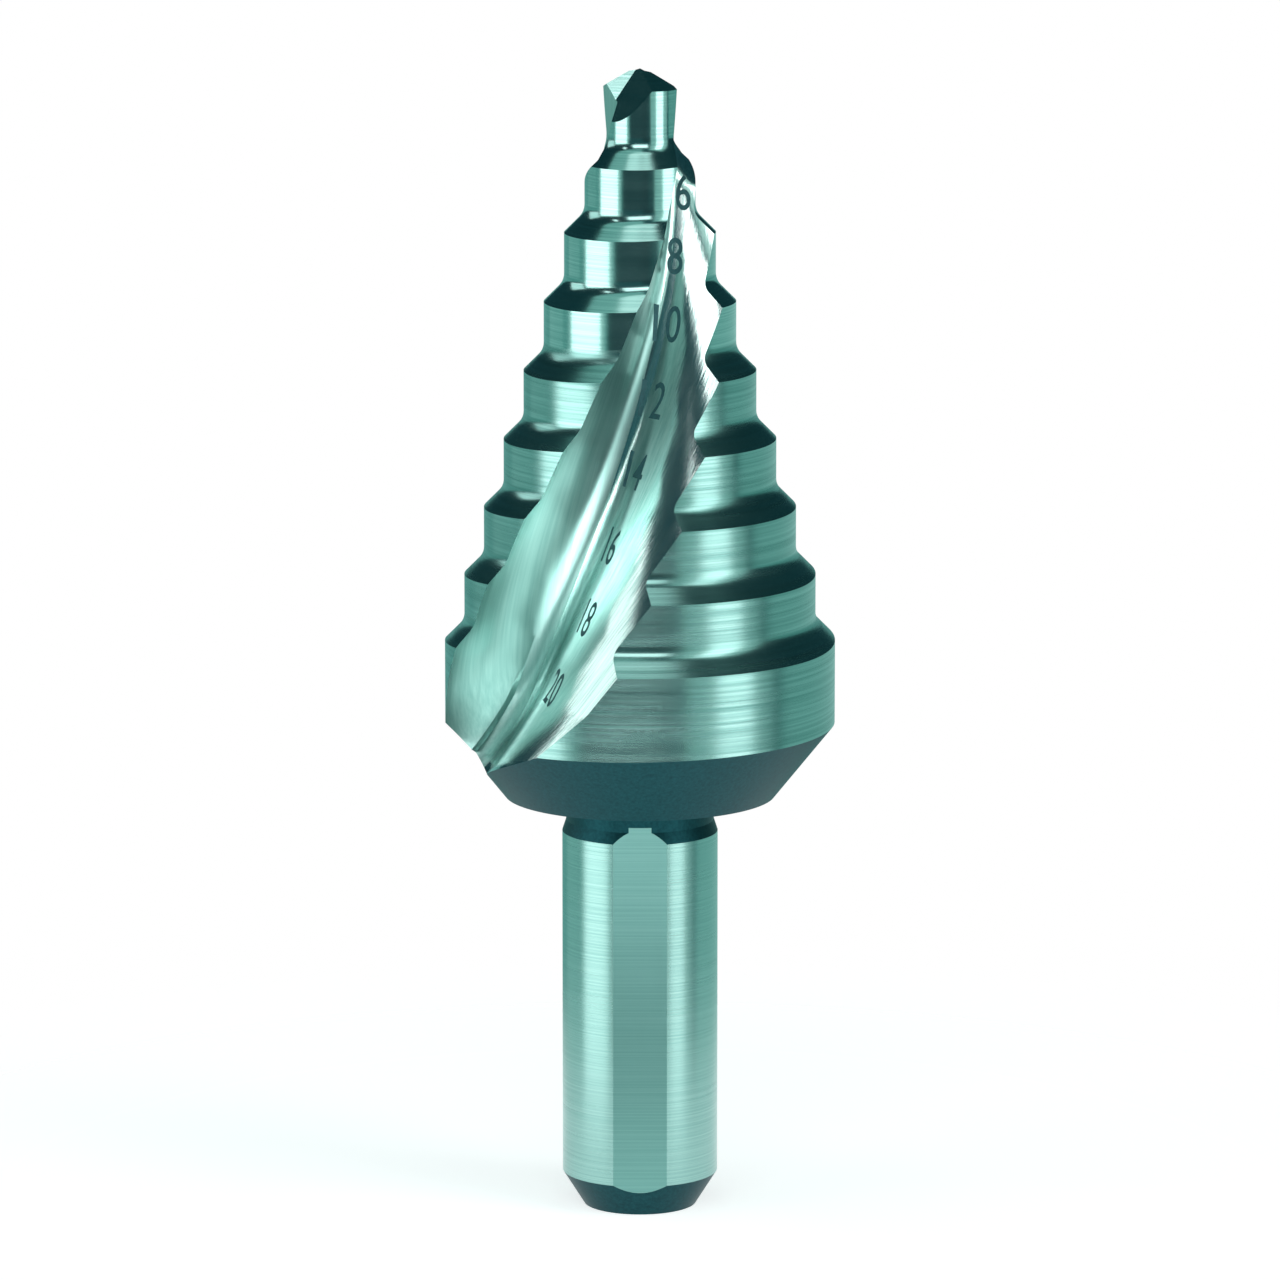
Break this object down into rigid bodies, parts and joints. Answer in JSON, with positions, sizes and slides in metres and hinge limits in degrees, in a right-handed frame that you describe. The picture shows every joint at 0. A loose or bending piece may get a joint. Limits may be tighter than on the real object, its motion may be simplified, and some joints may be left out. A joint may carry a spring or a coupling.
{
  "type": "step drill bit",
  "caption": "Spiral-fluted step drill with split point and flatted shank, for drilling and widening holes in sheet metal to a choice of sizes.",
  "frame": {"origin": "centre of the flat end of the shank, on the drill's axis", "axes": "+Z along the drill's axis from the shank end to the point; +X and +Y level, with one shank flat facing -Y"},
  "size_m": [0.02, 0.0198, 0.0591],
  "materials": {
    "step_drill": "ground, satin to bright"
  },
  "bodies": {
    "root": {"step_drill": "step_drill"}
  },
  "joints": []
}
